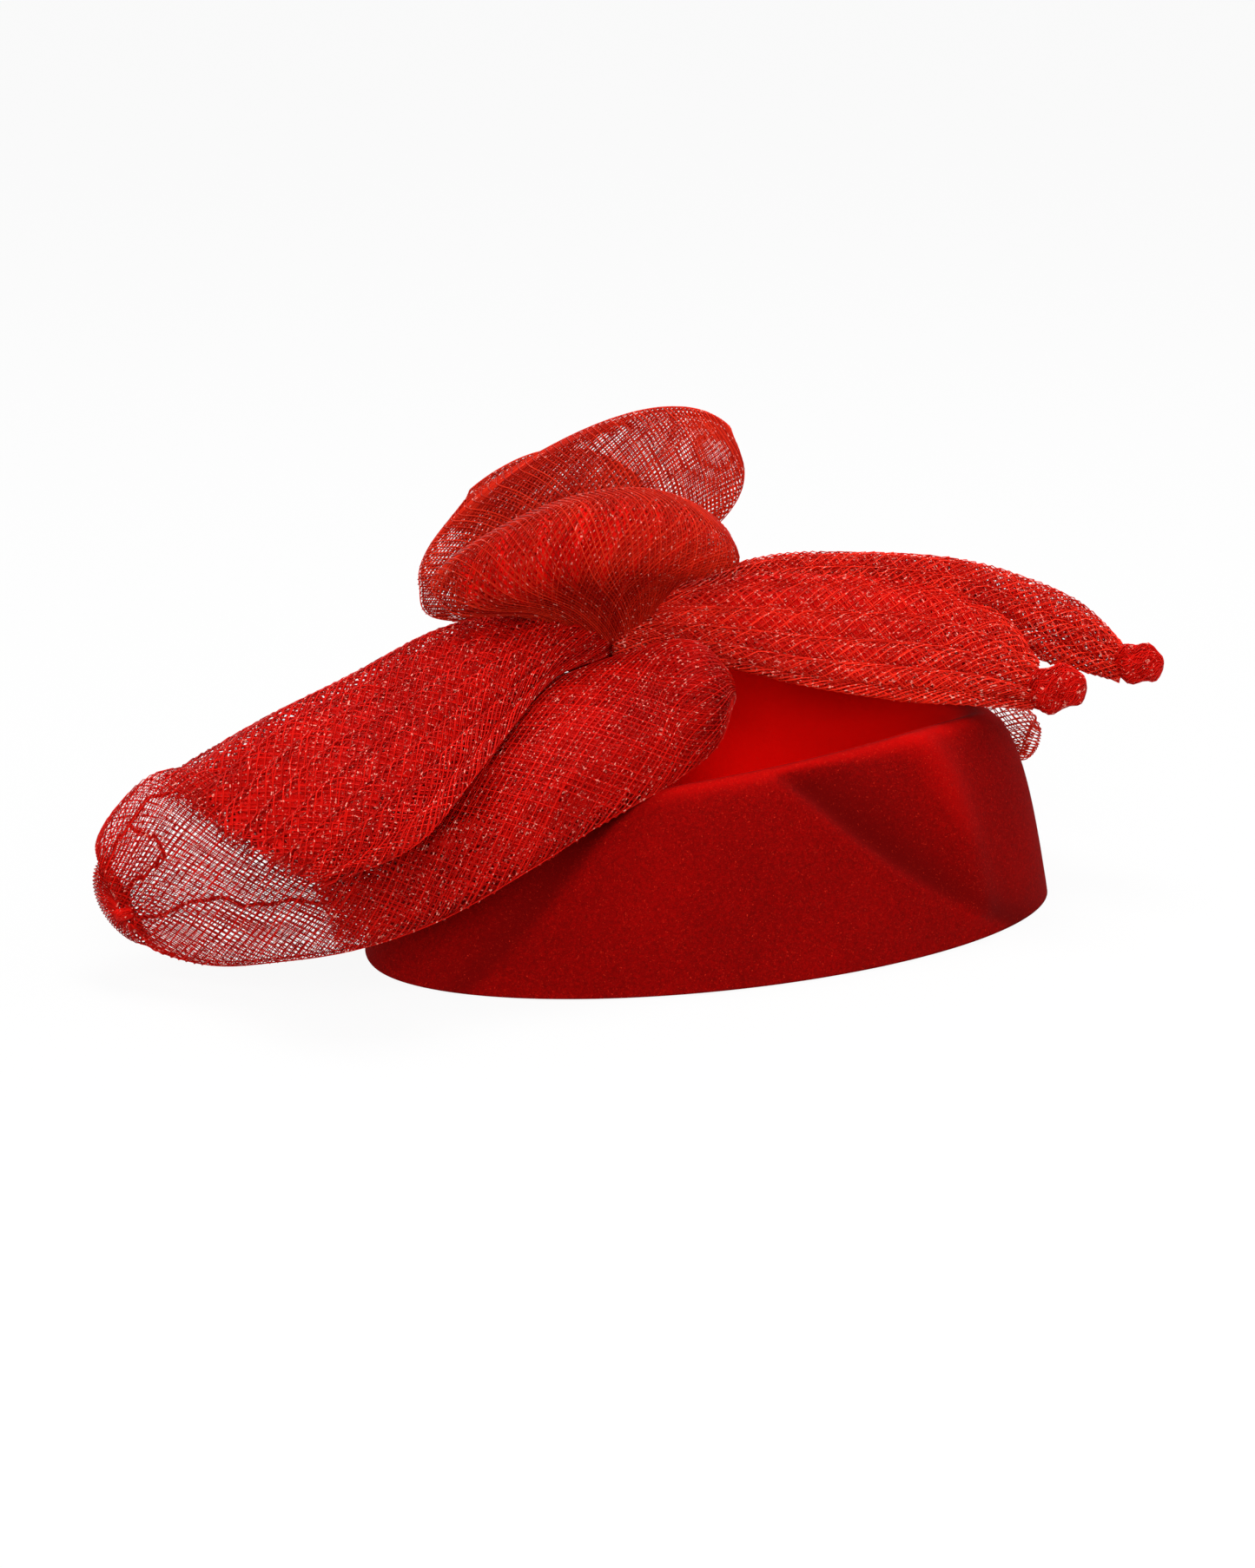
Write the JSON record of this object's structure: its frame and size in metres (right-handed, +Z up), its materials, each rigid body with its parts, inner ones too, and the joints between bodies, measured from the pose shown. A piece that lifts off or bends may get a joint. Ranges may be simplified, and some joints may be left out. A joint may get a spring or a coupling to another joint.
{
  "type": "fascinator headpiece",
  "caption": "Oval felt percher hat with a sunk crown, carrying a gathered crin bow of loops, pleated tails and knotted ends; comb and sprung hair clip inside.",
  "frame": {"origin": "middle of the hat's oval, on the plane of the felt's lower edge", "axes": "+X along the long oval to the knotted tails, -Y the front wall, +Z up from the head"},
  "size_m": [0.2904, 0.1352, 0.1323],
  "materials": {
    "felt": "dense wool felt with a short nap",
    "wire": "thread-wrapped millinery wire",
    "ribbon": "ribbed petersham",
    "crin": "glossy open nylon net",
    "thread": "sewing thread",
    "metal": "bright steel"
  },
  "bodies": {
    "body": {"felt_shell": "felt", "rim_wire": "wire", "head_ribbon": "ribbon", "trim_pad": "felt", "centre_binding": "crin", "trim_stitches": "thread", "front_top_loop": "crin", "rear_top_loop": "crin", "middle_top_loop": "crin", "long_loop": "crin", "left_tail": "crin", "near_tail": "crin", "far_tail": "crin", "right_loop": "crin", "near_tail_knot": "crin", "far_tail_knot": "crin", "loop_tip_tie": "crin", "comb_bar": "metal", "comb_teeth": "metal", "comb_stitches": "thread", "clip_base": "metal", "clip_pin": "metal", "clip_spring": "metal", "clip_stitches": "thread"},
    "clip": {"clip_jaw": "metal"}
  },
  "joints": [
    {"name": "clip_hinge", "type": "hinge", "parent": "body", "child": "clip", "pos_m": [0.008, 0.05372, 0.008], "axis": [0, 0, 1], "range_deg": [0, 20], "stiffness_Nm_per_rad": 0.02, "springref_deg": -5.73, "deforming": ["clip_spring"]}
  ]
}
